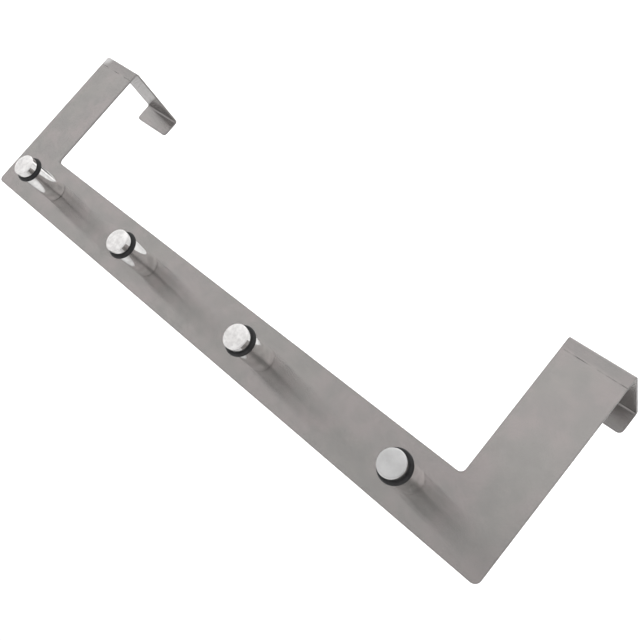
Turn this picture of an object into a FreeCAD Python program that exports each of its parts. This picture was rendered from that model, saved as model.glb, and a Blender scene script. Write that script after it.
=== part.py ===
import FreeCAD, Part
import math
import os

# Over door hook: a folded sheet of stainless steel with a row of turned pegs.
# Millimetres. X runs along the rail, Y points from the room to the door, Z is up.
# The origin lies on the back of the rail, which rests against the door, half way along
# the rail and level with the pegs.

# The folded sheet
SHEET_THICKNESS = 1.0
RAIL_LENGTH = 360.0
RAIL_HEIGHT = 30.0
OVERALL_HEIGHT = 100.0  # lower edge of the rail to the top of the hooks
UPRIGHT_WIDTH = 30.0
DOOR_GAP = 46.0  # clear space between the uprights and the lips
LIP_HEIGHT = 12.5  # top of the hooks to the free edge of the lips
BEND_RADIUS = 1.0  # inside of each fold
RAIL_CORNER_RADIUS = 3.0
INNER_CORNER_RADIUS = 2.5
LIP_CORNER_RADIUS = 2.5

# The pegs
PEG_COUNT = 4
PEG_DIAMETER = 12.0
PEG_LENGTH = 28.0
PEG_END_MARGIN = 45.0  # end of the rail to the axis of the nearest peg
PEG_HEIGHT = 15.5  # lower edge of the rail to the axes of the pegs
PEG_TIP_CHAMFER = 0.4
PEG_BASE_CHAMFER = 0.2

# The rubber rings, each in a groove near the tip of its peg
RING_CORD = 2.4
RING_SETBACK = 5.4  # tip of the peg to the middle of its ring
GROOVE_DEPTH = 1.0
GROOVE_SIDE_CLEARANCE = 0.05
RING_SEAT_CLEARANCE = 0.02

# The countersunk screws that hold the pegs from behind
SCREW_DIAMETER = 4.0
SCREW_LENGTH = 12.0  # whole screw, head included
SCREW_HEAD_DIAMETER = 7.5
SCREW_HEAD_RIM = 0.2  # short straight rim above the cone of the head
SCREW_HEAD_SINK = 0.1  # head lies this far below the back of the sheet
SCREW_CONE_ANGLE = 90.0
SCREW_END_CHAMFER = 0.5
SCREW_CLEARANCE = 0.03
HEX_ACROSS_FLATS = 2.5
HEX_DEPTH = 1.2
HOLE_RUNOUT = 2.0  # tapped hole goes this much deeper than the screw
DRILL_POINT_ANGLE = 118.0

# Places that follow from the sizes
RAIL_BOTTOM = -PEG_HEIGHT
RAIL_TOP = RAIL_BOTTOM + RAIL_HEIGHT
HOOK_TOP = RAIL_BOTTOM + OVERALL_HEIGHT
FOLD_OUTER_RADIUS = BEND_RADIUS + SHEET_THICKNESS
FOLD_START = HOOK_TOP - FOLD_OUTER_RADIUS
SHEET_FRONT = -SHEET_THICKNESS
LIP_FRONT = DOOR_GAP
LIP_BACK = DOOR_GAP + SHEET_THICKNESS
LIP_BOTTOM = HOOK_TOP - LIP_HEIGHT
PEG_TIP = SHEET_FRONT - PEG_LENGTH
SCREW_SLOPE = math.tan(math.radians(SCREW_CONE_ANGLE / 2))
SAME_POINT = 1e-6


def corner_arc(before, corner, after, radius):
    """Start, middle and end of the arc that rounds a corner between two straight runs."""
    back = (before - corner).normalize()
    ahead = (after - corner).normalize()
    half_angle = back.getAngle(ahead) / 2
    reach = radius / math.tan(half_angle)
    inward = (back + ahead).normalize()
    centre = corner + inward * (radius / math.sin(half_angle))
    return corner + back * reach, centre - inward * radius, corner + ahead * reach


def rounded_face(corners):
    """Flat face through (point, radius) corners, each radius a tangent arc."""
    stops = []
    for index, (corner, radius) in enumerate(corners):
        before = corners[index - 1][0]
        after = corners[(index + 1) % len(corners)][0]
        if radius > 0:
            stops.append(corner_arc(before, corner, after, radius))
        else:
            stops.append((corner, None, corner))
    edges = []
    for index, (start, middle, end) in enumerate(stops):
        if middle is not None:
            edges.append(Part.Arc(start, middle, end).toShape())
        next_start = stops[(index + 1) % len(stops)][0]
        if end.distanceToPoint(next_start) > SAME_POINT:
            edges.append(Part.LineSegment(end, next_start).toShape())
    return Part.Face(Part.Wire(edges))


def sheet_outline(corners, front):
    """Flat piece of the sheet: (x, z, radius) corners, one thickness deep behind front."""
    face = rounded_face([(FreeCAD.Vector(x, front, z), radius) for x, z, radius in corners])
    return face.extrude(FreeCAD.Vector(0, SHEET_THICKNESS, 0))


def flat_front():
    """The rail and both uprights, cut in one piece from the flat sheet."""
    end = RAIL_LENGTH / 2
    inner = end - UPRIGHT_WIDTH
    return sheet_outline(
        [
            (-end, RAIL_BOTTOM, RAIL_CORNER_RADIUS),
            (end, RAIL_BOTTOM, RAIL_CORNER_RADIUS),
            (end, FOLD_START, 0),
            (inner, FOLD_START, 0),
            (inner, RAIL_TOP, INNER_CORNER_RADIUS),
            (-inner, RAIL_TOP, INNER_CORNER_RADIUS),
            (-inner, FOLD_START, 0),
            (-end, FOLD_START, 0),
        ],
        SHEET_FRONT,
    )


def hook_strip(left):
    """Two folds and the top plate between them, from the upright to the lip."""
    under_top = HOOK_TOP - SHEET_THICKNESS
    corners = [
        (SHEET_FRONT, FOLD_START, 0),
        (SHEET_FRONT, HOOK_TOP, FOLD_OUTER_RADIUS),
        (LIP_BACK, HOOK_TOP, FOLD_OUTER_RADIUS),
        (LIP_BACK, FOLD_START, 0),
        (LIP_FRONT, FOLD_START, 0),
        (LIP_FRONT, under_top, BEND_RADIUS),
        (0, under_top, BEND_RADIUS),
        (0, FOLD_START, 0),
    ]
    face = rounded_face([(FreeCAD.Vector(left, y, z), radius) for y, z, radius in corners])
    return face.extrude(FreeCAD.Vector(UPRIGHT_WIDTH, 0, 0))


def hook_lip(left):
    """Short lip behind the door, with its two free corners rounded."""
    right = left + UPRIGHT_WIDTH
    return sheet_outline(
        [
            (left, FOLD_START, 0),
            (right, FOLD_START, 0),
            (right, LIP_BOTTOM, LIP_CORNER_RADIUS),
            (left, LIP_BOTTOM, LIP_CORNER_RADIUS),
        ],
        LIP_FRONT,
    )


def turned(profile, x):
    """Solid turned about the line along Y at x, from (radius, y) points that end on the axis."""
    points = [FreeCAD.Vector(x + radius, y, 0) for radius, y in profile]
    face = Part.Face(Part.makePolygon(points + [points[0]]))
    solid = face.revolve(FreeCAD.Vector(x, 0, 0), FreeCAD.Vector(0, 1, 0), 360)
    if solid.Volume < 0:
        solid.reverse()
    return solid


def screw_pocket(x):
    """Countersink and tapped hole, cut through the sheet and on into the peg."""
    hole = SCREW_DIAMETER / 2 + SCREW_CLEARANCE
    rim_depth = SCREW_HEAD_SINK + SCREW_HEAD_RIM
    mouth = SCREW_HEAD_DIAMETER / 2 + rim_depth * SCREW_SLOPE + SCREW_CLEARANCE
    cone_end = -(mouth - hole) / SCREW_SLOPE
    hole_end = -(SCREW_HEAD_SINK + SCREW_LENGTH + HOLE_RUNOUT)
    drill_point = hole / math.tan(math.radians(DRILL_POINT_ANGLE / 2))
    profile = [
        (0, 0),
        (mouth, 0),
        (hole, cone_end),
        (hole, hole_end),
        (0, hole_end - drill_point),
    ]
    return turned(profile, x)


def hook_plate(peg_places):
    """The whole folded sheet, drilled and countersunk for the screws."""
    sheet = flat_front()
    for left in (-RAIL_LENGTH / 2, RAIL_LENGTH / 2 - UPRIGHT_WIDTH):
        sheet = sheet.fuse([hook_strip(left), hook_lip(left)])
    sheet = sheet.removeSplitter()
    for x in peg_places:
        sheet = sheet.cut(screw_pocket(x))
    return sheet


def peg(x):
    """Turned peg with a broken tip edge, a groove for its ring and a tapped hole."""
    radius = PEG_DIAMETER / 2
    groove_floor = radius - GROOVE_DEPTH
    half_groove = RING_CORD / 2 + GROOVE_SIDE_CLEARANCE
    groove_middle = PEG_TIP + RING_SETBACK
    profile = [
        (0, SHEET_FRONT),
        (radius - PEG_BASE_CHAMFER, SHEET_FRONT),
        (radius, SHEET_FRONT - PEG_BASE_CHAMFER),
        (radius, groove_middle + half_groove),
        (groove_floor, groove_middle + half_groove),
        (groove_floor, groove_middle - half_groove),
        (radius, groove_middle - half_groove),
        (radius, PEG_TIP + PEG_TIP_CHAMFER),
        (radius - PEG_TIP_CHAMFER, PEG_TIP),
        (0, PEG_TIP),
    ]
    return turned(profile, x).cut(screw_pocket(x))


def rubber_ring(x):
    """Round rubber ring seated on the floor of the peg's groove."""
    cord_radius = RING_CORD / 2
    groove_floor = PEG_DIAMETER / 2 - GROOVE_DEPTH
    ring_radius = groove_floor + RING_SEAT_CLEARANCE + cord_radius
    centre = FreeCAD.Vector(x, PEG_TIP + RING_SETBACK, 0)
    return Part.makeTorus(ring_radius, cord_radius, centre, FreeCAD.Vector(0, 1, 0))


def hex_socket(x):
    """Six-sided recess for the key, open at the top of the screw's head."""
    corner_radius = HEX_ACROSS_FLATS / 2 / math.cos(math.radians(30))
    corners = []
    for step in range(6):
        angle = math.radians(60 * step)
        along = corner_radius * math.cos(angle)
        up = corner_radius * math.sin(angle)
        corners.append(FreeCAD.Vector(x + along, 0, up))
    face = Part.Face(Part.makePolygon(corners + [corners[0]]))
    return face.extrude(FreeCAD.Vector(0, -(SCREW_HEAD_SINK + HEX_DEPTH), 0))


def peg_screw(x):
    """Countersunk screw with a hexagon socket, driven from the back of the sheet."""
    head = SCREW_HEAD_DIAMETER / 2
    shank = SCREW_DIAMETER / 2
    top = -SCREW_HEAD_SINK
    rim_end = top - SCREW_HEAD_RIM
    cone_end = rim_end - (head - shank) / SCREW_SLOPE
    tip = top - SCREW_LENGTH
    profile = [
        (0, top),
        (head, top),
        (head, rim_end),
        (shank, cone_end),
        (shank, tip + SCREW_END_CHAMFER),
        (shank - SCREW_END_CHAMFER, tip),
        (0, tip),
    ]
    return turned(profile, x).cut(hex_socket(x))


def write_node(name, shape):
    """Write one sub-part as a STEP file and print what it measures."""
    shape.exportStep(os.path.join("parts", name + ".step"))
    box = shape.BoundBox
    size = f"{box.XLength:.2f} x {box.YLength:.2f} x {box.ZLength:.2f} mm"
    print(f"{name}: {size}, {shape.Volume:.1f} mm3, {len(shape.Solids)} solids")


def main():
    os.makedirs("parts", exist_ok=True)
    pitch = (RAIL_LENGTH - 2 * PEG_END_MARGIN) / (PEG_COUNT - 1)
    peg_places = [-RAIL_LENGTH / 2 + PEG_END_MARGIN + pitch * step for step in range(PEG_COUNT)]
    print(f"pegs {pitch:.2f} mm apart")
    write_node("hook_plate", hook_plate(peg_places))
    for number, x in enumerate(peg_places, start=1):
        write_node(f"peg_{number}", peg(x))
        write_node(f"rubber_ring_{number}", rubber_ring(x))
    write_node("peg_screws", Part.makeCompound([peg_screw(x) for x in peg_places]))


main()
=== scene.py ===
# %% [markdown]
# # An over door hook of folded stainless steel
#
# The object is a rail that hangs over the top of a door. It is cut and folded from one sheet of
# satin stainless steel, and it carries four turned pegs with a black rubber ring near each tip.
# This lesson dresses the measured model of that hook: each plain solid is replaced by a piece with
# softly broken edges, and each surface gets a finish. The steps are the camera, the sheet, the
# pegs, the rings, the screws, the finishes and at last the light.

# %% Load the measured model
import math

import bpy
import numpy as np
from mathutils import Matrix, Vector


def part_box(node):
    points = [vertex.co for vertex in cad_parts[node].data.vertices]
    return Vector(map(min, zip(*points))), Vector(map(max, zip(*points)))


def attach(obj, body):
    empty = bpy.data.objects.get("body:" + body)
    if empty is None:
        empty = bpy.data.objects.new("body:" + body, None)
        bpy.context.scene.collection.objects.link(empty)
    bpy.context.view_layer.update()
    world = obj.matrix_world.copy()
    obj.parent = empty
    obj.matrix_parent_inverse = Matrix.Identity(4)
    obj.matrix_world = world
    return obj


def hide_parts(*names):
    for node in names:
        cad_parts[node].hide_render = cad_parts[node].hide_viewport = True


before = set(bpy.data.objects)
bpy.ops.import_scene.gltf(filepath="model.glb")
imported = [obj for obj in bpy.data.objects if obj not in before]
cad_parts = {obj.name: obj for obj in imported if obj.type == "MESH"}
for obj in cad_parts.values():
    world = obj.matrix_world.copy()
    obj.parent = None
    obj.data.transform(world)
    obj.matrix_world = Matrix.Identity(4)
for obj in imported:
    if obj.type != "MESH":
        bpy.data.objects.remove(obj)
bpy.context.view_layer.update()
MM = 0.001

# %% [markdown]
# ## The camera
#
# A view that has to match a photograph can be found by eye, or worked out from straight edges
# whose real lengths are known. The second way was taken: the camera's place, its two angles, its
# roll and its lens are the ones that put the edges of the folded sheet where the photograph has
# them. The camera stands to the right of the hook, looks a little upwards, and is rolled by
# almost 40 degrees, so the rail runs down across the picture.

# %% Camera
CAMERA_PLACE = (238.5 * MM, -306.6 * MM, -3.2 * MM)
CAMERA_AZIMUTH = math.radians(-30.88)  # from +Y towards +X
CAMERA_ELEVATION = math.radians(5.36)
CAMERA_ROLL = math.radians(-39.41)
LENS = 44.4
SENSOR = 36.0

# a new camera looks down: it is rolled about that line, raised to the hook, then turned to it
rolled = Matrix.Rotation(-CAMERA_ROLL, 4, "Z")
raised = Matrix.Rotation(math.pi / 2 + CAMERA_ELEVATION, 4, "X")
turned = Matrix.Rotation(-CAMERA_AZIMUTH, 4, "Z")
camera_turn = turned @ raised @ rolled
camera = bpy.data.objects.new("camera", bpy.data.cameras.new("camera"))
camera.matrix_world = Matrix.Translation(CAMERA_PLACE) @ camera_turn
camera.data.lens = LENS
camera.data.sensor_width = SENSOR
camera.data.clip_start = 10 * MM
bpy.context.scene.collection.objects.link(camera)
bpy.context.scene.camera = camera
print("camera looks along", [round(-v, 4) for v in camera_turn.col[2].xyz])

# %% [markdown]
# ## From numbers to a mesh
#
# Every new piece is worked out as whole numpy arrays: points, faces and the place of each face
# corner on the piece's own map. One helper puts points and faces into a mesh, one adds the map,
# and one breaks the sharp edges with a small bevel. Weighted normals keep the flat faces flat.

# %% Mesh helpers
EDGE_BREAK = 0.1 * MM
SHARP_ANGLE = math.radians(32)


def new_mesh(name, points, faces, finishes):
    """Smooth shaded mesh from points (n, 3) and faces as lists of point numbers."""
    mesh = bpy.data.meshes.new(name)
    mesh.from_pydata(points.tolist(), [], faces)
    for finish in finishes:
        mesh.materials.append(finish)
    mesh.shade_smooth()
    piece = bpy.data.objects.new(name, mesh)
    bpy.context.scene.collection.objects.link(piece)
    return piece


def new_piece(name, points, faces, corner_map, finishes, face_finish=None):
    """A mesh with its own map, one map point per corner, and where needed a finish per face."""
    piece = new_mesh(name, points, faces, finishes)
    layer = piece.data.uv_layers.new(name="map")
    layer.data.foreach_set("uv", np.asarray(corner_map, np.float32).ravel())
    if face_finish is not None:
        piece.data.polygons.foreach_set("material_index", np.asarray(face_finish, np.int32))
    return piece


def break_edges(piece, width=EDGE_BREAK, segments=3):
    """Rounds every sharp edge by width, and keeps the shading of the flat faces flat."""
    bevel = piece.modifiers.new("broken edges", "BEVEL")
    bevel.width = width
    bevel.segments = segments
    bevel.limit_method = "ANGLE"
    bevel.angle_limit = SHARP_ANGLE
    flat = piece.modifiers.new("flat faces", "WEIGHTED_NORMAL")
    flat.keep_sharp = False
    return piece


def grid_quads(index):
    """Quads of a grid of point numbers: each cell is its four corners in turn."""
    corners = [index[:-1, :-1], index[:-1, 1:], index[1:, 1:], index[1:, :-1]]
    return np.stack(corners, axis=-1).reshape(-1, 4)


def net_quads(points):
    """The same for a net of points (rows, columns, ...) whose numbers run on row by row."""
    rows, columns = points.shape[:2]
    return grid_quads(np.arange(rows * columns).reshape(rows, columns))


# %% [markdown]
# ## The folded sheet
#
# The real rail starts as a flat blank in the shape of a wide U, and a press brake folds each of
# its arms twice. The model is made the same way. A point of the blank has two numbers: x along
# the rail, and s, the way along the sheet from the rail's lower edge up the arm. The blank is a
# grid of such points, and one formula folds it. Folding a finished solid with a modifier would
# also work, but the formula gives true bends, and s stays on the piece as a map for the finish.

# %% Sizes of the sheet
SHEET = 1.0 * MM
RAIL_HEIGHT = 30.0 * MM
ARM_WIDTH = 30.0 * MM
LIP_HEIGHT = 12.5 * MM
BEND_INSIDE = 1.0 * MM
RAIL_CORNER = 3.0 * MM
INNER_CORNER = 2.5 * MM
LIP_CORNER = 2.5 * MM

plate_low, plate_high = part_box("hook_plate")
HALF_LENGTH = plate_high.x
RAIL_FOOT = plate_low.z
HOOK_TOP = plate_high.z
FRONT_FACE = plate_low.y
BACK_OF_LIP = plate_high.y

bend_middle = BEND_INSIDE + SHEET / 2
bend_way = bend_middle * math.pi / 2
ARM_STRAIGHT = HOOK_TOP - RAIL_FOOT - BEND_INSIDE - SHEET
TOP_STRAIGHT = BACK_OF_LIP - FRONT_FACE - 2 * (BEND_INSIDE + SHEET)
LIP_STRAIGHT = LIP_HEIGHT - BEND_INSIDE - SHEET
FIRST_BEND = ARM_STRAIGHT
SECOND_BEND = FIRST_BEND + bend_way + TOP_STRAIGHT
BLANK_HEIGHT = SECOND_BEND + bend_way + LIP_STRAIGHT
print("flat blank, mm:", round(2 * HALF_LENGTH / MM, 2), "by", round(BLANK_HEIGHT / MM, 2))


# %% [markdown]
# A fold stretches the outside of a sheet and squeezes its inside, and the middle layer keeps its
# length. So a point is placed by its way along the middle layer and by its depth beside it.

# %% The folding formula
def fold(x, s, depth):
    """Places blank points in space. The sheet runs up, turns by a quarter circle, runs back,
    turns again and runs down; depth is the distance from its middle layer, outwards positive."""
    first = np.clip((s - FIRST_BEND) / bend_middle, 0, math.pi / 2)
    second = np.clip((s - SECOND_BEND) / bend_middle, 0, math.pi / 2)
    rise = np.minimum(s, ARM_STRAIGHT)
    along_top = np.clip(s - FIRST_BEND - bend_way, 0, TOP_STRAIGHT)
    down_lip = np.clip(s - SECOND_BEND - bend_way, 0, LIP_STRAIGHT)
    y = FRONT_FACE + SHEET / 2 + bend_middle * (1 - np.cos(first)) + along_top
    y = y + bend_middle * np.sin(second)
    z = RAIL_FOOT + rise + bend_middle * np.sin(first) - bend_middle * (1 - np.cos(second)) - down_lip
    turn = first + second
    return np.stack([x, y - depth * np.cos(turn), z + depth * np.sin(turn)], axis=-1)


def corner_cut(distance, radius):
    """How far a rounded corner stands back from the edge line, at a distance from its end."""
    left = np.clip(radius - distance, 0, radius)
    return radius - np.sqrt(radius**2 - left**2)


def outer_edge(s):
    """Half length of the blank at height s, with the rail's and the lip's outer corners."""
    return HALF_LENGTH - corner_cut(s, RAIL_CORNER) - corner_cut(BLANK_HEIGHT - s, LIP_CORNER)


def inner_edge(s):
    """Inner edge of an arm at height s, with the hollow corner at the rail and the lip's."""
    hollow = corner_cut(s - RAIL_HEIGHT, INNER_CORNER)
    return HALF_LENGTH - ARM_WIDTH - hollow + corner_cut(BLANK_HEIGHT - s, LIP_CORNER)


# %% [markdown]
# The blank's grid needs rows close together where an edge curves or the sheet bends, and few
# rows elsewhere. Around each peg a square of the grid is left out and filled by rings of points
# that go from the square to the round hole of the countersunk screw.

# %% Rows and columns of the blank
PEG_NODES = ("peg_1", "peg_2", "peg_3", "peg_4")
PEG_PLACES = [sum(corner.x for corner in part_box(node)) / 2 for node in PEG_NODES]
HOLE_SQUARE = 7.0 * MM  # half the side of the square around each hole
SQUARE_STEPS = 12
ARM_COLUMNS = 8
ARM_ROWS = 8
TOP_ROWS = 6
CORNER_ROWS = 7
BEND_ROWS = 12
HOLE_RINGS = 4
PEG_LEVEL = -RAIL_FOOT  # height of the peg axes on the blank
SAME_PLACE = 0.001 * MM  # corners nearer to each other than this share one point


def rounded_rows(start, radius, rising):
    """Rows along a quarter circle corner, evenly turned, from its start."""
    turn = np.linspace(0, math.pi / 2, CORNER_ROWS + 1)
    share = 1 - np.cos(turn) if rising else np.sin(turn)
    return start + radius * share


def joined(*runs):
    """One rising list of values from several runs, without repeats."""
    return np.unique(np.round(np.concatenate(runs), 9))


square_side = np.linspace(-HOLE_SQUARE, HOLE_SQUARE, SQUARE_STEPS + 1)
rail_rows = joined(rounded_rows(0, RAIL_CORNER, True), PEG_LEVEL + square_side, [RAIL_HEIGHT])
arm_rows = joined(
    rounded_rows(RAIL_HEIGHT, INNER_CORNER, True),
    np.linspace(RAIL_HEIGHT + INNER_CORNER, FIRST_BEND, ARM_ROWS),
    np.linspace(FIRST_BEND, FIRST_BEND + bend_way, BEND_ROWS + 1),
    np.linspace(FIRST_BEND + bend_way, SECOND_BEND, TOP_ROWS),
    np.linspace(SECOND_BEND, SECOND_BEND + bend_way, BEND_ROWS + 1),
    rounded_rows(BLANK_HEIGHT - LIP_CORNER, LIP_CORNER, False),
)
arm_foot = HALF_LENGTH - ARM_WIDTH - INNER_CORNER
middle_columns = joined([-arm_foot, arm_foot], *[place + square_side for place in PEG_PLACES])
share = np.linspace(0, 1, ARM_COLUMNS + 1)
print("rows:", len(rail_rows), "on the rail,", len(arm_rows), "on each arm")


# %% [markdown]
# Rail, arms and hole rings are turned into quads one by one and then welded where they touch, so
# the sheet becomes one closed skin and the bevel finds real edges only.

# %% The blank as one list of quads
def arm_points(s, side):
    """Grid of an arm: each row runs from its inner to its outer edge; side is -1 or 1."""
    inner = np.where(s >= RAIL_HEIGHT, inner_edge(s), arm_foot)[:, None]
    x = inner + (outer_edge(s)[:, None] - inner) * share
    return side * x, np.broadcast_to(s[:, None], x.shape)


def hole_rings(place, radius):
    """Rings from the square round a peg to its hole, each a blend of the two outlines."""
    run = square_side[:-1]
    low, high = np.full_like(run, -HOLE_SQUARE), np.full_like(run, HOLE_SQUARE)
    square = np.stack([np.r_[run, high, -run, low], np.r_[low, run, high, -run]], axis=-1)
    circle = radius * square / np.linalg.norm(square, axis=1)[:, None]
    blend = np.linspace(0, 1, HOLE_RINGS + 1)[:, None, None]
    rings = square + (circle - square) * blend
    rings = np.concatenate([rings, rings[:, :1]], axis=1)
    return rings[..., 0] + place, rings[..., 1] + PEG_LEVEL


def blank_cells(hole_radius):
    """Corners of every quad of the blank, (n, 4, 2), anticlockwise as seen from the room."""
    cells = []

    def add(x, s):
        net = np.stack([x, s], axis=-1)
        cells.append(net.reshape(-1, 2)[net_quads(net)])

    x, s = np.meshgrid(middle_columns, rail_rows)
    add(x, s)
    column = (middle_columns[:-1] + middle_columns[1:]) / 2
    row = (rail_rows[:-1] + rail_rows[1:]) / 2
    near = np.abs(column[:, None] - np.array(PEG_PLACES)).min(axis=1) < HOLE_SQUARE
    solid = ~(near[None, :] & (np.abs(row - PEG_LEVEL) < HOLE_SQUARE)[:, None])
    cells[0] = cells[0][solid.ravel()]
    for s_rows in (rail_rows, arm_rows):
        x, s = arm_points(s_rows, 1)
        add(x, s)
        x, s = arm_points(s_rows, -1)
        add(x[:, ::-1], s)
    for place in PEG_PLACES:
        x, s = hole_rings(place, hole_radius)
        add(x, s)
    return np.concatenate(cells)


def weld(corners):
    """Numbers the corners so that those in the same place share one point."""
    flat = corners.reshape(-1, 2)
    keys = np.round(flat / SAME_PLACE).astype(np.int64)
    _, first, number = np.unique(keys, axis=0, return_index=True, return_inverse=True)
    return flat[first], number.reshape(corners.shape[:2])


HOLE_FRONT = 3.08 * MM  # countersunk hole where it meets the peg
HOLE_BACK = 4.08 * MM  # the same hole at the back of the sheet
front_cells = blank_cells(HOLE_FRONT)
front_points, quads = weld(front_cells)
back_points = front_points.copy()
back_points[quads.ravel()] = blank_cells(HOLE_BACK).reshape(-1, 2)
edges = np.stack([quads, np.roll(quads, -1, axis=1)], axis=-1).reshape(-1, 2)
total = len(front_points)
one_way = edges[:, 0] * total + edges[:, 1]
other_way = edges[:, 1] * total + edges[:, 0]
rim = edges[~np.isin(one_way, other_way)]
print("blank:", len(quads), "quads,", len(rim), "edges on its rim")

# %% [markdown]
# The same quads serve twice, as the outer and as the inner face of the sheet, half a thickness
# away from the middle layer on either side. The rim joins them all round: a quad for each edge
# of the blank that only one cell uses. The rim gets a finish of its own, because a sheared edge
# is rougher and duller than the brushed face.


# %% Fold the sheet
def folded_sheet(face_finish, rim_finish):
    """The whole sheet: the blank's quads on both faces and the rim between them, all folded."""
    outer = fold(front_points[:, 0], front_points[:, 1], np.full(total, SHEET / 2))
    inner = fold(back_points[:, 0], back_points[:, 1], np.full(total, -SHEET / 2))
    points = np.concatenate([outer, inner])
    rim_quads = np.stack([rim[:, 1], rim[:, 0], rim[:, 0] + total, rim[:, 1] + total], axis=-1)
    faces = np.concatenate([quads, quads[:, ::-1] + total, rim_quads])
    spots = np.concatenate([front_points, back_points])[faces.ravel()]
    finish = np.r_[np.zeros(2 * len(quads)), np.ones(len(rim_quads))]
    finishes = [face_finish, rim_finish]
    piece = new_piece("folded_sheet", points, faces.tolist(), spots, finishes, finish)
    outer_side = piece.data.attributes.new("outer_side", "FLOAT", "POINT")
    outer_side.data.foreach_set("value", np.r_[np.ones(total), np.zeros(total)].astype(np.float32))
    return break_edges(piece)


# %% [markdown]
# ## Turned pieces
#
# Pegs, rings and screws are round about an axis that points out of the door. Each is a profile
# carried round that axis: a row of points, a radius and a distance along the axis each, swept
# through a full turn. The radius may also change with the angle, which gives the six-sided
# socket of a screw and its thread from the same formula.


# %% Surface of revolution
def revolved(radii, along, centre_x, segments, closed=False):
    """Turns a profile about the line along Y at centre_x: a point at angle t has x = centre +
    r cos t and z = r sin t. Radii are (rows,) or (rows, segments). An open profile starts and
    ends on the axis, where its last ring is closed by one point; a closed one joins its ends.
    Faces point outwards when the profile starts at the room side, at the low end of Y."""
    radii, along = (np.reshape(run, (len(run), -1)) * np.ones(segments) for run in (radii, along))
    angle = 2 * math.pi * np.arange(segments) / segments
    points = np.stack([centre_x + radii * np.cos(angle), along, radii * np.sin(angle)], axis=-1)
    profile = points[:, 0]
    if closed:
        profile = np.concatenate([profile, profile[:1]])
    way = np.r_[0, np.cumsum(np.linalg.norm(np.diff(profile, axis=0), axis=1))]
    rows = len(radii)
    row = np.arange(len(way))[:, None]
    column = np.arange(segments + 1)[None, :]
    index = (row % rows) * segments + column % segments
    corners = grid_quads(index)[:, ::-1]
    spots = np.stack(np.broadcast_arrays(column / segments, way[:, None]), axis=-1)
    corner_map = spots.reshape(-1, 2)[net_quads(spots)[:, ::-1]]
    points = points.reshape(-1, 3)
    if not closed:
        # the rings of zero radius at both ends become one point each
        kept = corners.copy()
        kept[corners < segments] = 0
        kept[corners >= (rows - 1) * segments] = (rows - 1) * segments
        corners = kept
    return points, corners, corner_map


def add_turned(name, parts, finishes, face_finish=None):
    """One piece from turned parts: renumbers their points, drops the unused ones, joins them."""
    points = np.concatenate([part[0] for part in parts])
    starts = np.cumsum([0] + [len(part[0]) for part in parts[:-1]])
    corners = np.concatenate([part[1] + start for part, start in zip(parts, starts)])
    corner_map = np.concatenate([part[2] for part in parts])
    used, corners = np.unique(corners, return_inverse=True)
    corners = corners.reshape(-1, 4)
    # the repeated corner of each quad at a pole is left out
    single = corners != np.roll(corners, 1, axis=1)
    faces = [face[keep].tolist() for face, keep in zip(corners, single)]
    return new_piece(name, points[used], faces, corner_map[single], finishes, face_finish)


# %% [markdown]
# ## The pegs
#
# Each peg is turned from 12 mm bar. Its tip is faced off square and lightly chamfered, and a
# groove behind the tip holds the rubber ring. The end face is very slightly crowned, as a hand
# polished end is, so it doesn't catch the light as one flat mirror. The countersink and the
# tapped hole for the screw are part of the same profile, which runs from the middle of the end
# face round the outside to the bottom of the hole.

# %% Peg profile
PEG_SEGMENTS = 128
END_ROWS = 9  # points of the profile on the end face
PEG_EDGE_BREAK = 0.06 * MM
TIP_CHAMFER = 0.4 * MM
TIP_CROWN = 0.04 * MM
BASE_CHAMFER = 0.2 * MM
GROOVE_DEPTH = 1.0 * MM
GROOVE_SLACK = 0.05 * MM
TAPPED_RADIUS = 2.03 * MM
TAPPED_END = -14.1 * MM
DRILL_POINT = 1.22 * MM

peg_low, peg_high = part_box("peg_1")
PEG_RADIUS = (peg_high.x - peg_low.x) / 2
PEG_TIP = peg_low.y
ring_low, ring_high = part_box("rubber_ring_1")
RING_MIDDLE = (ring_low.y + ring_high.y) / 2
CORD_RADIUS = (ring_high.y - ring_low.y) / 2
RING_OUTSIDE = (ring_high.x - ring_low.x) / 2
face_radius = PEG_RADIUS - TIP_CHAMFER
print("peg, mm:", round(2 * PEG_RADIUS / MM, 2), "thick,", round((peg_high.y - PEG_TIP) / MM, 2), "long")


def peg_profile():
    """Radius and distance along the axis, from the crowned end face to the drilled point."""
    face = face_radius * np.linspace(0, 1, END_ROWS)
    crown = PEG_TIP + TIP_CROWN * (face / face_radius) ** 2
    half_groove = CORD_RADIUS + GROOVE_SLACK
    floor = PEG_RADIUS - GROOVE_DEPTH
    rest = [
        (PEG_RADIUS, PEG_TIP + TIP_CHAMFER),
        (PEG_RADIUS, RING_MIDDLE - half_groove),
        (floor, RING_MIDDLE - half_groove),
        (floor, RING_MIDDLE + half_groove),
        (PEG_RADIUS, RING_MIDDLE + half_groove),
        (PEG_RADIUS, FRONT_FACE - BASE_CHAMFER),
        (PEG_RADIUS - BASE_CHAMFER, FRONT_FACE),
        (HOLE_FRONT, FRONT_FACE),
        (TAPPED_RADIUS, FRONT_FACE - (HOLE_FRONT - TAPPED_RADIUS)),
        (TAPPED_RADIUS, TAPPED_END),
        (0, TAPPED_END - DRILL_POINT),
    ]
    radii = np.r_[face, [r for r, _ in rest]]
    along = np.r_[crown, [y for _, y in rest]]
    return radii, along


def turned_peg(number, place, shaft_finish, face_finish):
    """One peg; the faces of its crowned end and of the chamfer round it take the second finish."""
    radii, along = peg_profile()
    part = revolved(radii, along, place, PEG_SEGMENTS)
    finish = np.zeros(len(part[1]), int)
    finish[: END_ROWS * PEG_SEGMENTS] = 1
    piece = add_turned(f"turned_peg_{number}", [part], [shaft_finish, face_finish], finish)
    return break_edges(piece, width=PEG_EDGE_BREAK, segments=2)


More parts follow.
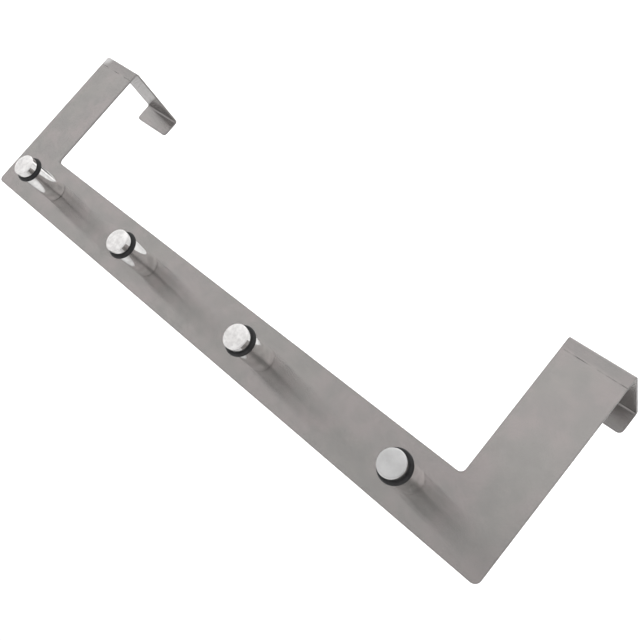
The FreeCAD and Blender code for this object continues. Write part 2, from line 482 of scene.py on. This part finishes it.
# %% [markdown]
# ## The rubber rings
#
# A rubber ring of this kind is moulded in two halves, which leaves a fine raised line round its
# outermost and innermost circle. The surface is a torus with that line added: the cord's radius
# grows by a few hundredths of a millimetre in a narrow band about the two circles. The line is
# kept inside the ring's measured size by making the cord thinner by the same amount.

# %% Ring
RING_SEGMENTS = 144
CORD_SEGMENTS = 64
FLASH_HEIGHT = 0.03 * MM
FLASH_WIDTH = math.radians(5)


def rubber_ring(number, place, finish):
    """Torus with parting lines: cord radius plus a narrow bump at the angles 0 and 180."""
    turn = 2 * math.pi * np.arange(CORD_SEGMENTS) / CORD_SEGMENTS
    off_line = np.arcsin(np.abs(np.sin(turn)))
    cord = CORD_RADIUS - FLASH_HEIGHT + FLASH_HEIGHT * np.exp(-((off_line / FLASH_WIDTH) ** 2))
    radii = RING_OUTSIDE - CORD_RADIUS + cord * np.cos(turn)
    along = RING_MIDDLE + cord * np.sin(turn)
    part = revolved(radii, along, place, RING_SEGMENTS, closed=True)
    return add_turned(f"ring_{number}", [part], [finish])


# %% [markdown]
# ## The screws
#
# A countersunk screw with a hexagon socket comes through the sheet from behind into each peg.
# Its profile is turned like the peg's, but some rings of it aren't round: the socket's rings
# take the distance to a hexagon's side at each angle, and the shank's rings rise and fall with
# the thread, whose crest moves on by one pitch in a turn.

# %% Screws
SCREW_SEGMENTS = 72
SCREW_EDGE_BREAK = 0.05 * MM
HEAD_TOP = -0.1 * MM
HEAD_RIM = 0.2 * MM
HEAD_RADIUS = 3.75 * MM
SHANK_RADIUS = 2.0 * MM
SCREW_END = -12.1 * MM
END_CHAMFER = 0.5 * MM
THREAD_PITCH = 0.7 * MM
THREAD_DEPTH = 0.38 * MM
ROWS_PER_PITCH = 8
SOCKET_HALF = 1.25 * MM
SOCKET_DEPTH = 1.2 * MM
SOCKET_POINT = 0.3 * MM


def hexagon(angle):
    """Distance from the middle of a hexagon to its outline at each angle."""
    sixth = math.pi / 3
    from_side = (angle + sixth / 2) % sixth - sixth / 2
    return SOCKET_HALF / np.cos(sixth / 2 - np.abs(from_side))


def screw_part(place):
    """Rows of one screw: socket, head, cone, threaded shank and chamfered end. Its profile starts
    at the door side, so the corners of its faces are turned round."""
    angle = 2 * math.pi * np.arange(SCREW_SEGMENTS) / SCREW_SEGMENTS
    around = np.ones(SCREW_SEGMENTS)
    neck = HEAD_TOP - HEAD_RIM - (HEAD_RADIUS - SHANK_RADIUS)
    length = neck - (SCREW_END + END_CHAMFER)
    count = int(length / THREAD_PITCH * ROWS_PER_PITCH)
    shank = neck - np.linspace(0, length, count)
    phase = (-shank[:, None] / THREAD_PITCH + angle / (2 * math.pi)) % 1
    fade = np.minimum(1, np.minimum(neck - shank, shank - shank[-1]) / THREAD_PITCH)[:, None]
    thread = SHANK_RADIUS - THREAD_DEPTH * fade * (1 - np.abs(2 * phase - 1))
    radii = [0 * around, hexagon(angle), hexagon(angle), HEAD_RADIUS * around, HEAD_RADIUS * around]
    socket_floor = HEAD_TOP - SOCKET_DEPTH
    levels = [socket_floor - SOCKET_POINT, socket_floor, HEAD_TOP, HEAD_TOP, HEAD_TOP - HEAD_RIM]
    radii += list(thread) + [(SHANK_RADIUS - END_CHAMFER) * around, 0 * around]
    levels += list(shank) + [SCREW_END, SCREW_END]
    points, corners, corner_map = revolved(radii, levels, place, SCREW_SEGMENTS)
    return points, corners[:, ::-1], corner_map[:, ::-1]


def peg_screws(finish):
    """All four screws as one piece, one beside another."""
    piece = add_turned("countersunk_screws", [screw_part(place) for place in PEG_PLACES], [finish])
    return break_edges(piece, width=SCREW_EDGE_BREAK, segments=2)


# %% [markdown]
# ## Effects shared by the finishes
#
# Some effects turn up on more than one surface, such as clouds from handling or the rings that a
# lathe leaves. Each effect is a node group with named inputs and outputs, built once and placed
# in every material that needs it, with its own values there.


# %% Node helpers
def new_group(name, inputs, outputs):
    """Shader node group with named sockets. An input comes with its usual value, where None
    stands for a vector without one; every output is a plain value."""
    group = bpy.data.node_groups.new(name, "ShaderNodeTree")
    for label, value in inputs.items():
        kind = "NodeSocketVector" if value is None else "NodeSocketFloat"
        socket = group.interface.new_socket(label, in_out="INPUT", socket_type=kind)
        if value is not None:
            socket.default_value = value
    for label in outputs:
        group.interface.new_socket(label, in_out="OUTPUT", socket_type="NodeSocketFloat")
    source = group.nodes.new("NodeGroupInput")
    result = group.nodes.new("NodeGroupOutput")
    return group, source.outputs, result.inputs


def put(tree, kind, settings=None, **values):
    """Adds a node, sets its properties, and sets or links its inputs by their labels."""
    node = tree.nodes.new(kind)
    for key, value in (settings or {}).items():
        setattr(node, key, value)
    for label, value in values.items():
        wire(tree, value, node.inputs[label.replace("_", " ")])
    return node


def wire(tree, value, socket):
    """Links an output socket to an input, or writes a plain value into it."""
    if isinstance(value, bpy.types.NodeSocket):
        tree.links.new(value, socket)
    else:
        socket.default_value = value


def math_node(tree, operation, first, second=0.0, clamp=False):
    """One arithmetic step on two values."""
    node = put(tree, "ShaderNodeMath", {"operation": operation, "use_clamp": clamp})
    wire(tree, first, node.inputs[0])
    wire(tree, second, node.inputs[1])
    return node.outputs[0]


def times(tree, first, second):
    """Product of two values."""
    return math_node(tree, "MULTIPLY", first, second)


def parts_of(tree, vector):
    """X, Y and Z of a vector."""
    return put(tree, "ShaderNodeSeparateXYZ", Vector=vector).outputs


def spread(tree, value, low, high):
    """Moves a value from 0 to 1 into the range from low to high."""
    node = put(tree, "ShaderNodeMapRange", Value=value)
    wire(tree, low, node.inputs["To Min"])
    wire(tree, high, node.inputs["To Max"])
    return node.outputs["Result"]


def pick(tree, value, low, high):
    """Where a value lies between low and high, as a soft mask from 0 to 1."""
    node = put(tree, "ShaderNodeMapRange", {"interpolation_type": "SMOOTHSTEP"}, Value=value)
    node.inputs["From Min"].default_value = low
    node.inputs["From Max"].default_value = high
    return node.outputs["Result"]


def blend_colour(tree, mask, first, second):
    """First colour where the mask is 0, second where it is 1."""
    node = put(tree, "ShaderNodeMix", {"data_type": "RGBA"})
    wire(tree, mask, node.inputs[0])
    wire(tree, first, node.inputs[6])
    wire(tree, second, node.inputs[7])
    return node.outputs[2]


def layered(tree, tint, layers):
    """Lays colours over a tint in turn, each where its mask is 1 and as far as its strength."""
    for mask, strength, colour in layers:
        tint = blend_colour(tree, times(tree, mask, strength), tint, (*colour, 1))
    return tint


# %% [markdown]
# Clouds are slow noise on the object's own coordinates, so they run across folds and corners
# without a seam. Grain is noise drawn out into fine lines, as brushing leaves them: its two
# coordinates are scaled very differently before the noise is read.


# %% Clouds and grain
CLOUD_EDGES = (0.32, 0.68)  # noise where a cloud starts and where it is full


def make_clouds():
    """Soft handling clouds: noise of a given size, sharpened about its middle."""
    group, given, result = new_group(
        "handling_clouds", {"Vector": None, "Size": 30 * MM, "Detail": 3.0}, ["Mask"]
    )
    scale = math_node(group, "DIVIDE", 1.0, given["Size"])
    noise = put(group, "ShaderNodeTexNoise", Vector=given["Vector"], Scale=scale)
    wire(group, given["Detail"], noise.inputs["Detail"])
    wire(group, pick(group, noise.outputs["Fac"], *CLOUD_EDGES), result["Mask"])
    return group


def make_grain():
    """Fine lines along the second map direction, turned by Tilt: noise on coordinates of which
    one is divided by Length and the other by Pitch."""
    group, given, result = new_group(
        "brushed_grain", {"Vector": None, "Length": 10 * MM, "Pitch": 0.2 * MM, "Tilt": 0.0}, ["Lines"]
    )
    turned = put(group, "ShaderNodeVectorRotate", {"rotation_type": "Z_AXIS"}, Vector=given["Vector"])
    wire(group, given["Tilt"], turned.inputs["Angle"])
    parts = parts_of(group, turned.outputs[0])
    along = math_node(group, "DIVIDE", parts["Y"], given["Length"])
    across = math_node(group, "DIVIDE", parts["X"], given["Pitch"])
    stretched = put(group, "ShaderNodeCombineXYZ", X=along, Y=across).outputs["Vector"]
    noise = put(group, "ShaderNodeTexNoise", Vector=stretched, Scale=1.0, Detail=2.0)
    wire(group, noise.outputs["Fac"], result["Lines"])
    return group


clouds = make_clouds()
grain = make_grain()


def use(tree, group, **values):
    """Places a node group in a material and gives it this material's values."""
    node = tree.nodes.new("ShaderNodeGroup")
    node.node_tree = group
    for label, value in values.items():
        wire(tree, value, node.inputs[label])
    return node.outputs


def new_finish(name, colour, metallic, roughness):
    """Material with one Principled shader; plain values go straight to the shader's sockets."""
    finish = bpy.data.materials.new(name)
    finish.use_nodes = True
    tree = finish.node_tree
    shader = tree.nodes["Principled BSDF"]
    shader.inputs["Base Color"].default_value = (*colour, 1.0)
    shader.inputs["Metallic"].default_value = metallic
    shader.inputs["Roughness"].default_value = roughness
    return finish, tree, shader


def object_place(tree):
    """The place on the object itself, in metres."""
    return put(tree, "ShaderNodeTexCoord").outputs["Object"]


def cloudy(tree, size, detail=3.0):
    """Mask of clouds of a size, on the object's own coordinates."""
    return use(tree, clouds, Vector=object_place(tree), Size=size, Detail=detail)["Mask"]


def own_map(tree):
    """The piece's own map: place on the blank, or angle and way along a profile."""
    return put(tree, "ShaderNodeUVMap", {"uv_map": "map"}).outputs["UV"]


def smear(tree, shader, amount, turn):
    """Stretches reflections along the piece's map: turn 0 along its first direction, 0.25 along
    its second."""
    shader.inputs["Anisotropic"].default_value = amount
    shader.inputs["Anisotropic Rotation"].default_value = turn
    along_map = put(tree, "ShaderNodeTangent", {"direction_type": "UV_MAP", "uv_map": "map"})
    wire(tree, along_map.outputs[0], shader.inputs["Tangent"])


def brush(tree, lines, steepness, tilt, rise):
    """Normal leaned sideways by fine brushing lines; tilt turns the lean from the map's first
    direction, and rise leans the whole face towards its second."""
    lean = times(tree, math_node(tree, "SUBTRACT", lines, 0.5), steepness)
    first = math_node(tree, "ADD", times(tree, lean, math.cos(tilt)), 0.5)
    second = math_node(tree, "ADD", times(tree, lean, math.sin(tilt)), 0.5)
    second = math_node(tree, "ADD", second, times(tree, rise, 0.5))
    packed = put(tree, "ShaderNodeCombineColor", Red=first, Green=second, Blue=1.0)
    node = put(tree, "ShaderNodeNormalMap", {"space": "TANGENT", "uv_map": "map"})
    wire(tree, packed.outputs[0], node.inputs["Color"])
    return node.outputs["Normal"]


def relief(tree, height, distance, strength, below=None):
    """Bump from a height between 0 and 1 that stands for a real depth in metres."""
    node = put(tree, "ShaderNodeBump", Height=height, Distance=distance, Strength=strength)
    if below is not None:
        wire(tree, below, node.inputs["Normal"])
    return node.outputs["Normal"]


def dress(finish, tint, rough, normal):
    """Links a tint, a roughness and a normal to the shader of a finish."""
    tree = finish.node_tree
    shader = tree.nodes["Principled BSDF"]
    for label, value in (("Base Color", tint), ("Roughness", rough), ("Normal", normal)):
        wire(tree, value, shader.inputs[label])
    return finish


# %% [markdown]
# ## Satin steel
#
# The sheet is brushed up its height, nearly square to the rail. Fine lines like these scatter
# light to their sides and hardly along themselves, so what stands on the sheet is drawn out
# along the rail, and each peg throws a long straight band. Two things make that band. The
# shader's own stretch, set by `smear`, takes its direction from the piece's map. Lines far finer
# than a pixel, made by `brush`, lean the normal from side to side and carry the band further. A
# plain roughness would only blur each peg into a round smudge. The bands lie a little low in the
# photograph, so the face also leans by about two degrees.
#
# Clouds change tint and roughness a little. The press brake's die has left a broken line on
# either side of each fold. The strip between, slightly curved on the real sheet, gets painted
# shade: a slightly darker tint. The left fold's outer corner gets a painted highlight, a bright
# spot where the bend catches the light, and the faces on the inner side of the sheet are painted
# a little lighter, as painted light. Each cut edge has a duller band. All of these can be placed
# exactly, because the piece's map is the flat blank.

# %% Satin steel
DIE_REACH = 4.2 * MM  # from the start of a fold to the die's mark
DIE_LINE = 0.3 * MM
DIE_FADE = 1.5 * MM  # soft border of the pressed strip
# painted highlight: a bright spot painted on the outer corner of the left fold
HIGHLIGHT_CORNER = (-HALF_LENGTH, FIRST_BEND + bend_way / 2, 0)  # outer corner of the left fold
HIGHLIGHT_SPOT = (7.0 * MM, 2.5 * MM)  # from that corner: where the bright spot ends and is full
EDGE_BAND = 0.6 * MM
BRUSH_LENGTH = 1.0 * MM
BRUSH_PITCH = 0.012 * MM
BRUSH_STEEPNESS = 1.3
BRUSH_TILT = math.radians(-5)  # lean of the brushing from square to the rail
FACE_RISE = math.radians(1.8)  # lean of the outer face against the pegs


def nearest(tree, first, *others):
    """Smallest of several distances."""
    for other in others:
        first = math_node(tree, "MINIMUM", first, other)
    return first


def apart(tree, first, second):
    """Distance between two values."""
    return math_node(tree, "ABSOLUTE", math_node(tree, "SUBTRACT", first, second))


def close_by(tree, distance, width):
    """1 where a distance is 0, falling to 0 at width."""
    share = math_node(tree, "DIVIDE", distance, width)
    return math_node(tree, "SUBTRACT", 1.0, share, clamp=True)


def make_fold_marks():
    """Line of the die on both sides of each fold, and the strip between them, the mask of its painted
    shade.
    """
    group, given, result = new_group("fold_marks", {"Blank": None, "Width": DIE_LINE}, ["Line", "Strip"])
    way = parts_of(group, given["Blank"])["Y"]
    middles = [FIRST_BEND + bend_way / 2, SECOND_BEND + bend_way / 2]
    from_fold = nearest(group, *[apart(group, way, middle) for middle in middles])
    reach = bend_way / 2 + DIE_REACH
    line = close_by(group, apart(group, from_fold, reach), given["Width"])
    wire(group, line, result["Line"])
    wire(group, pick(group, from_fold, reach, reach - DIE_FADE), result["Strip"])
    return group


def make_cut_edge_band():
    """Nearness to the outline of the blank, 1 at the edge and 0 from Width inwards."""
    group, given, result = new_group("cut_edge_band", {"Blank": None, "Width": EDGE_BAND}, ["Mask"])
    parts = parts_of(group, given["Blank"])
    across = math_node(group, "ABSOLUTE", parts["X"])
    way = parts["Y"]
    from_arm = math_node(group, "SUBTRACT", across, HALF_LENGTH - ARM_WIDTH)
    from_rail = math_node(group, "SUBTRACT", RAIL_HEIGHT, way)
    inner = math_node(group, "MAXIMUM", from_arm, from_rail)
    outer = math_node(group, "SUBTRACT", HALF_LENGTH, across)
    end = math_node(group, "SUBTRACT", BLANK_HEIGHT, way)
    distance = nearest(group, outer, way, end, inner)
    wire(group, close_by(group, distance, given["Width"]), result["Mask"])
    return group


fold_marks = make_fold_marks()
cut_edge_band = make_cut_edge_band()


def make_satin_steel():
    """Brushed satin steel with clouds, the marks of the press brake, duller edges and painted light:
    shade on the strips by the folds, a highlight on the left fold's corner and a lighter inner side.
    """
    finish, tree, shader = new_finish("satin_steel", (0.36, 0.345, 0.34), 1.0, 0.2)
    smear(tree, shader, 1.0, BRUSH_TILT / (2 * math.pi))
    blank = own_map(tree)
    wide = cloudy(tree, 20 * MM)
    small = cloudy(tree, 10 * MM, 4.0)
    breaks = cloudy(tree, 5 * MM, 2.0)
    brushing = {"Length": BRUSH_LENGTH, "Pitch": BRUSH_PITCH, "Tilt": -BRUSH_TILT}
    lines = use(tree, grain, Vector=blank, **brushing)["Lines"]
    marks = use(tree, fold_marks, Blank=blank)
    band = use(tree, cut_edge_band, Blank=blank)["Mask"]
    outer = put(tree, "ShaderNodeAttribute", {"attribute_name": "outer_side"}).outputs["Fac"]
    inside = math_node(tree, "SUBTRACT", 1.0, outer)
    mark = times(tree, times(tree, marks["Line"], breaks), spread(tree, outer, 0.4, 1.0))
    from_corner = put(tree, "ShaderNodeVectorMath", {"operation": "DISTANCE"}, Vector=blank)
    from_corner.inputs[1].default_value = HIGHLIGHT_CORNER
    painted_highlight = times(tree, outer, pick(tree, from_corner.outputs["Value"], *HIGHLIGHT_SPOT))
    layers = [
        (small, 0.5, (0.325, 0.312, 0.306)),
        # painted shade: the strip between the die lines is tinted darker
        (marks["Strip"], 0.3, (0.26, 0.245, 0.245)),
        (mark, 0.8, (0.1, 0.092, 0.09)),
        # painted highlight: the bright spot at the left fold's outer corner
        (painted_highlight, 1.0, (0.6, 0.59, 0.585)),
        # painted light: the inner side of the sheet is tinted lighter
        (inside, 0.35, (0.45, 0.435, 0.43)),
        (band, spread(tree, breaks, 0.1, 0.5), (0.17, 0.162, 0.158)),
    ]
    tint = blend_colour(tree, wide, (0.376, 0.346, 0.34, 1), (0.362, 0.35, 0.337, 1))
    tint = layered(tree, tint, layers)
    rough = math_node(tree, "ADD", spread(tree, wide, 0.19, 0.22), spread(tree, lines, -0.01, 0.01))
    rough = math_node(tree, "ADD", rough, times(tree, mark, 0.2))
    normal = brush(tree, lines, BRUSH_STEEPNESS, BRUSH_TILT, times(tree, outer, FACE_RISE))
    return dress(finish, tint, rough, relief(tree, mark, -0.02 * MM, 0.6, normal))


def make_sheared_edge():
    """Cut edge of the sheet: dull, with the fine torn grain of the shear."""
    finish, tree, _ = new_finish("sheared_edge", (0.32, 0.31, 0.305), 1.0, 0.42)
    fine = cloudy(tree, 0.6 * MM, 2.0)
    tint = blend_colour(tree, fine, (0.22, 0.21, 0.205, 1), (0.33, 0.32, 0.315, 1))
    rough = spread(tree, cloudy(tree, 8 * MM), 0.34, 0.48)
    return dress(finish, tint, rough, relief(tree, fine, 0.01 * MM, 0.5))


# %% [markdown]
# ## Turned steel
#
# The shafts are polished: they mirror the white surroundings at their sides and the grey sheet
# along their middle. A lathe leaves rings, and their spacing along the profile is what the
# piece's map holds, so the rings are noise read along that one direction, and the reflections
# are stretched the same way. The end face keeps coarser rings and is much rougher, so it gathers
# light from all over and looks nearly white. The last peg's end is duller in the photograph,
# because it faces a dimmer part of the room: that shade is painted into its tint, which turns
# greyer towards that side.


# %% Turned steel
# painted shade on the last peg's end: where along the rail its greyer tint starts and is full
LAST_PEG_SHADE = (80 * MM, 120 * MM)  # along the rail: where the ends start to turn greyer and are


def make_turning():
    """Lathe rings: noise along the second map direction only, with a slow drift round the axis."""
    group, given, result = new_group("turning_rings", {"Vector": None, "Pitch": 0.2 * MM}, ["Rings"])
    parts = parts_of(group, given["Vector"])
    turn = times(group, parts["X"], 2 * math.pi)
    drift = times(group, math_node(group, "COSINE", turn), 0.35)
    across = math_node(group, "DIVIDE", parts["Y"], given["Pitch"])
    ringed = put(group, "ShaderNodeCombineXYZ", X=drift, Y=across).outputs["Vector"]
    noise = put(group, "ShaderNodeTexNoise", Vector=ringed, Scale=1.0, Detail=2.0)
    wire(group, noise.outputs["Fac"], result["Rings"])
    return group


turning = make_turning()


def make_turned_shaft():
    """Polished shaft with fine lathe rings and a few cloudy patches from handling."""
    finish, tree, shader = new_finish("turned_shaft", (0.88, 0.87, 0.855), 1.0, 0.12)
    smear(tree, shader, 0.6, 0.25)
    rings = use(tree, turning, Vector=own_map(tree), Pitch=0.18 * MM)["Rings"]
    patches = cloudy(tree, 4.5 * MM, 4.0)
    tint = blend_colour(tree, patches, (0.97, 0.96, 0.95, 1), (0.79, 0.78, 0.77, 1))
    rough = math_node(tree, "ADD", spread(tree, patches, 0.07, 0.13), spread(tree, rings, -0.02, 0.02))
    return dress(finish, tint, rough, relief(tree, rings, 0.0015 * MM, 0.5))


def make_faced_end():
    """Faced end of a peg: bright, rough and ringed, with small dull nicks and painted shade that greys
    the last peg's end.
    """
    finish, tree, shader = new_finish("faced_end", (0.9, 0.89, 0.88), 1.0, 0.5)
    smear(tree, shader, 0.35, 0.25)
    rings = use(tree, turning, Vector=own_map(tree), Pitch=0.4 * MM)["Rings"]
    patches = cloudy(tree, 4 * MM)
    nicks = cloudy(tree, 1.5 * MM, 4.0)
    last = pick(tree, parts_of(tree, object_place(tree))["X"], *LAST_PEG_SHADE)
    tint = blend_colour(tree, patches, (1.0, 0.985, 0.975, 1), (0.9, 0.885, 0.875, 1))
    # the nicks are real marks; the greyer tint on the last peg is painted shade
    tint = layered(tree, tint, [(nicks, 0.5, (0.68, 0.66, 0.655)), (last, 0.8, (0.6, 0.6, 0.6))])
    rough = spread(tree, patches, 0.38, 0.48)
    return dress(finish, tint, rough, relief(tree, rings, 0.008 * MM, 0.6))


# %% [markdown]
# ## Rubber and screws
#
# The rings are black moulded rubber, half matt, with a very fine pebbled skin and a little dust
# that makes some patches greyer. The screws are plain stainless steel: a brushed head with
# lathe rings, a little stained where it was degreased.


# %% Rubber and screw steel
def make_black_rubber():
    """Half matt black rubber with a fine skin and traces of dust."""
    finish, tree, shader = new_finish("black_rubber", (0.02, 0.02, 0.021), 0.0, 0.5)
    shader.inputs["Specular IOR Level"].default_value = 0.3
    dust = cloudy(tree, 3 * MM, 5.0)
    skin = cloudy(tree, 0.3 * MM, 2.0)
    tint = blend_colour(tree, dust, (0.014, 0.014, 0.015, 1), (0.028, 0.028, 0.029, 1))
    rough = spread(tree, dust, 0.42, 0.6)
    return dress(finish, tint, rough, relief(tree, skin, 0.008 * MM, 0.5))


def make_screw_steel():
    """Plain screw steel with lathe rings and faint stains."""
    finish, tree, _ = new_finish("screw_steel", (0.6, 0.6, 0.6), 1.0, 0.28)
    rings = use(tree, turning, Vector=own_map(tree), Pitch=0.25 * MM)["Rings"]
    stains = cloudy(tree, 2.5 * MM)
    tint = blend_colour(tree, stains, (0.63, 0.625, 0.615, 1), (0.54, 0.53, 0.51, 1))
    rough = spread(tree, stains, 0.22, 0.36)
    return dress(finish, tint, rough, relief(tree, rings, 0.004 * MM, 0.5))


# %% [markdown]
# ## Putting the hook together
#
# Each piece replaces the measured solid it was made from and rides with the hook.

# %% Build every piece
satin_steel = make_satin_steel()
sheared_edge = make_sheared_edge()
turned_shaft = make_turned_shaft()
faced_end = make_faced_end()
black_rubber = make_black_rubber()
screw_steel = make_screw_steel()


def seat(piece, node):
    """Hangs a piece on the hook, hides the measured solid it stands for, and says which one that is."""
    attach(piece, "root")
    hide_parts(node)
    print(piece.name, "stands for", node, "with", len(piece.data.polygons), "faces")


seat(folded_sheet(satin_steel, sheared_edge), "hook_plate")
for number, place in enumerate(PEG_PLACES, start=1):
    seat(turned_peg(number, place, turned_shaft, faced_end), f"peg_{number}")
    seat(rubber_ring(number, place, black_rubber), f"rubber_ring_{number}")
seat(peg_screws(screw_steel), "peg_screws")

# %% [markdown]
# ## Floor, backdrop and light
#
# The hook hangs in a plain white studio. Metal shows its surroundings more than its own colour,
# so they are part of the finish: a white backdrop behind the hook makes the bright flanks of the
# pegs, and a dimmer room in front makes the sheet grey. The floor shows the camera its matt
# surface with a little white added, so it reads as white and keeps the hook's shadow. Polished
# metal sees plain tones there instead, set by place in short tables of steps: each step says
# where along a coordinate, in metres, the tone starts to change and has changed, and the new tone.

# %% Floor and backdrop
ROOM_TONE = 0.62
FLOOR_LEVEL = RAIL_FOOT - 90 * MM
BACKDROP_WAY = 1.6
BACKDROP_HEIGHT = 1.8
BACKDROP_HALF_TURN = math.radians(85)
CAMERA_LIFT = 0.68  # white added for the camera, away from the hook's shadow
SHADOW_REACH = (0.3, 0.9)  # from the hook: where that white starts and is full
FAR_FRONT_TONE = 0.9
FRONT_STEPS = [  # from far in front of the hook to its foot, along Y
    (-0.42, -0.3, 0.75),
    (-0.125, -0.1, 0.9),
]
BACK_STEPS = [  # from under the hook to the backdrop, along Y
    (-0.03, 0.03, 0.84),
    (0.06, 0.115, 0.52),
    (0.2, 0.28, 1.12),
]
UPPER_STEPS = [(0.4, 0.8, 0.83)]  # up the backdrop, along Z
LEFT_FADE = (-1.4, -0.8)  # along X: where the far left ends and the full tone begins
LEFT_SHARE = 0.7  # of the tone, at the far left
DIM_TONE = 0.5  # dark band low at the right front
DIM_SIDE = (-0.2, 0.3)  # its start and full strength towards the right
DIM_WAY = (0.22, 0.45)  # the same outwards on the floor
DIM_TOP = (0.16, 0.03)  # the same down from the room


def stepped(tree, value, tone, steps):
    """A tone that follows a table of steps along a value."""
    for start, end, next_tone in steps:
        tone = spread(tree, pick(tree, value, start, end), tone, next_tone)
    return tone


def mix_shaders(tree, mask, first, second):
    """First shader where the mask is 0, second where it is 1."""
    node = put(tree, "ShaderNodeMixShader", Fac=mask)
    wire(tree, first.outputs[0], node.inputs[1])
    wire(tree, second.outputs[0], node.inputs[2])
    return node.outputs[0]


def make_studio_white():
    """Matt white that adds a lift for the camera, less near the hook where its shadow falls.
    Metal sees the tones of the tables, dimmed low at the right front and at the far left."""
    finish, tree, shader = new_finish("studio_white", (0.82, 0.82, 0.82), 0.0, 0.9)
    shader.inputs["Emission Color"].default_value = (1.0, 1.0, 1.0, 1.0)
    path = put(tree, "ShaderNodeLightPath").outputs
    place = object_place(tree)
    away = put(tree, "ShaderNodeVectorMath", {"operation": "LENGTH"}, Vector=place).outputs["Value"]
    added = spread(tree, pick(tree, away, *SHADOW_REACH), 0.0, CAMERA_LIFT)
    seen = math_node(tree, "MAXIMUM", path["Is Camera Ray"], path["Is Transmission Ray"])
    wire(tree, times(tree, seen, added), shader.inputs["Emission Strength"])
    parts = parts_of(tree, place)
    side, way = parts["X"], parts["Y"]
    to_right = pick(tree, math_node(tree, "DIVIDE", side, away), *DIM_SIDE)
    tone = stepped(tree, way, FAR_FRONT_TONE, FRONT_STEPS)
    tone = spread(tree, times(tree, to_right, pick(tree, away, *DIM_WAY)), tone, DIM_TONE)
    tone = stepped(tree, way, tone, BACK_STEPS)
    tone = stepped(tree, parts["Z"], tone, UPPER_STEPS)
    tone = times(tree, tone, spread(tree, pick(tree, side, *LEFT_FADE), LEFT_SHARE, 1.0))
    plain = put(tree, "ShaderNodeEmission", Color=(1.0, 1.0, 1.0, 1.0), Strength=tone)
    surface = mix_shaders(tree, path["Is Glossy Ray"], shader, plain)
    wire(tree, surface, tree.nodes["Material Output"].inputs["Surface"])
    return finish


def stage_piece(name, points, quads, finish):
    """Adds a piece of the studio that isn't part of the hook."""
    piece = new_mesh(name, points.reshape(-1, 3), quads.tolist(), [finish])


def disc(radius, level, rings=4, segments=96):
    """Flat disc: rings of points about the Z axis, open in the very middle."""
    r = radius * np.linspace(0.001, 1, rings + 1)[:, None]
    angle = np.linspace(0, 2 * math.pi, segments + 1)[None, :]
    points = np.stack(np.broadcast_arrays(r * np.cos(angle), r * np.sin(angle), level), axis=-1)
    return points, net_quads(points)[:, ::-1]


def curved_wall(radius, low, high, half_turn, segments=48):
    """Upright wall on an arc behind the hook: x = r sin t, y = r cos t."""
    angle = np.linspace(-half_turn, half_turn, segments + 1)[None, :]
    level = np.array([low, high])[:, None]
    x, y = radius * np.sin(angle), radius * np.cos(angle)
    points = np.stack(np.broadcast_arrays(x, y, level), axis=-1)
    return points, net_quads(points)


studio_white = make_studio_white()
stage_piece("pale_floor", *disc(BACKDROP_WAY, FLOOR_LEVEL), studio_white)
wall = curved_wall(BACKDROP_WAY, FLOOR_LEVEL, BACKDROP_HEIGHT, BACKDROP_HALF_TURN)
stage_piece("white_backdrop", *wall, studio_white)

# %% [markdown]
# Metal is lit by what it mirrors, so the room does most of the work here. Its tone brightens
# towards the left front and overhead, which is what the sheet and its folds mirror. Low at the
# right front it dims to a band, which draws the dark line along the middle of each polished peg.
# One soft box behind the hook lights the matt surfaces and throws the hook's shadow forwards on
# the floor, below the picture. It is hidden from reflections, where it would draw hard streaks.

# %% Lamp and room
SOFTBOX_ELEVATION = math.radians(33)
SOFTBOX_DISTANCE = 1.3
SOFTBOX_SIDE = 0.35
SOFTBOX_BRIGHTNESS = 45.0  # what its face looks like
BRIGHT_PARTS = [  # direction of each bright part, cosines where it is full and gone, and its tone
    ((-0.67, -0.74, 0.06), 0.98, 0.855, 1.15),  # wall at the left front
    ((-0.92, -0.39, 0.03), 0.985, 0.86, 1.17),  # wall at the left
    ((-0.25, -0.87, 0.43), 0.965, 0.925, 1.22),  # wall above the camera
    ((-0.45, 0.1, 0.89), 0.8, 0.6, 1.2),  # ceiling
    ((0.4, -0.72, 0.5), 0.8, 0.6, 0.85),  # wall and ceiling at the right front
]

softbox_direction = Vector((0, math.cos(SOFTBOX_ELEVATION), math.sin(SOFTBOX_ELEVATION)))
softbox = bpy.data.objects.new("rear_softbox", bpy.data.lights.new("rear_softbox", "AREA"))
softbox.data.size = SOFTBOX_SIDE
softbox.data.energy = SOFTBOX_BRIGHTNESS * math.pi * SOFTBOX_SIDE**2
softbox.location = softbox_direction * SOFTBOX_DISTANCE
softbox.rotation_mode = "QUATERNION"
softbox.rotation_quaternion = (-softbox_direction).to_track_quat("-Z", "Y")
softbox.visible_glossy = False
bpy.context.scene.collection.objects.link(softbox)

world = bpy.data.worlds.new("studio_room")
bpy.context.scene.world = world
world.use_nodes = True
tree = world.node_tree
tree.nodes.clear()
looking = put(tree, "ShaderNodeTexCoord").outputs["Generated"]
tone = ROOM_TONE
for direction, full, gone, part_tone in BRIGHT_PARTS:
    cosine = put(tree, "ShaderNodeVectorMath", {"operation": "DOT_PRODUCT"}, Vector=looking)
    cosine.inputs[1].default_value = Vector(direction).normalized()
    part = pick(tree, cosine.outputs["Value"], gone, full)
    tone = math_node(tree, "MAXIMUM", tone, spread(tree, part, ROOM_TONE, part_tone))
parts = parts_of(tree, looking)
dim = times(tree, pick(tree, parts["X"], *DIM_SIDE), pick(tree, parts["Z"], *DIM_TOP))
tone = spread(tree, dim, tone, DIM_TONE)
room = put(tree, "ShaderNodeBackground", Color=(1, 1, 1, 1), Strength=tone)
white = put(tree, "ShaderNodeBackground", Color=(1, 1, 1, 1), Strength=1.0)
seen = put(tree, "ShaderNodeLightPath").outputs["Is Camera Ray"]
output = put(tree, "ShaderNodeOutputWorld")
wire(tree, mix_shaders(tree, seen, room, white), output.inputs["Surface"])
bpy.context.scene.view_settings.view_transform = "Standard"
print("studio: room tone", ROOM_TONE, "floor at", round(FLOOR_LEVEL / MM, 1), "mm")
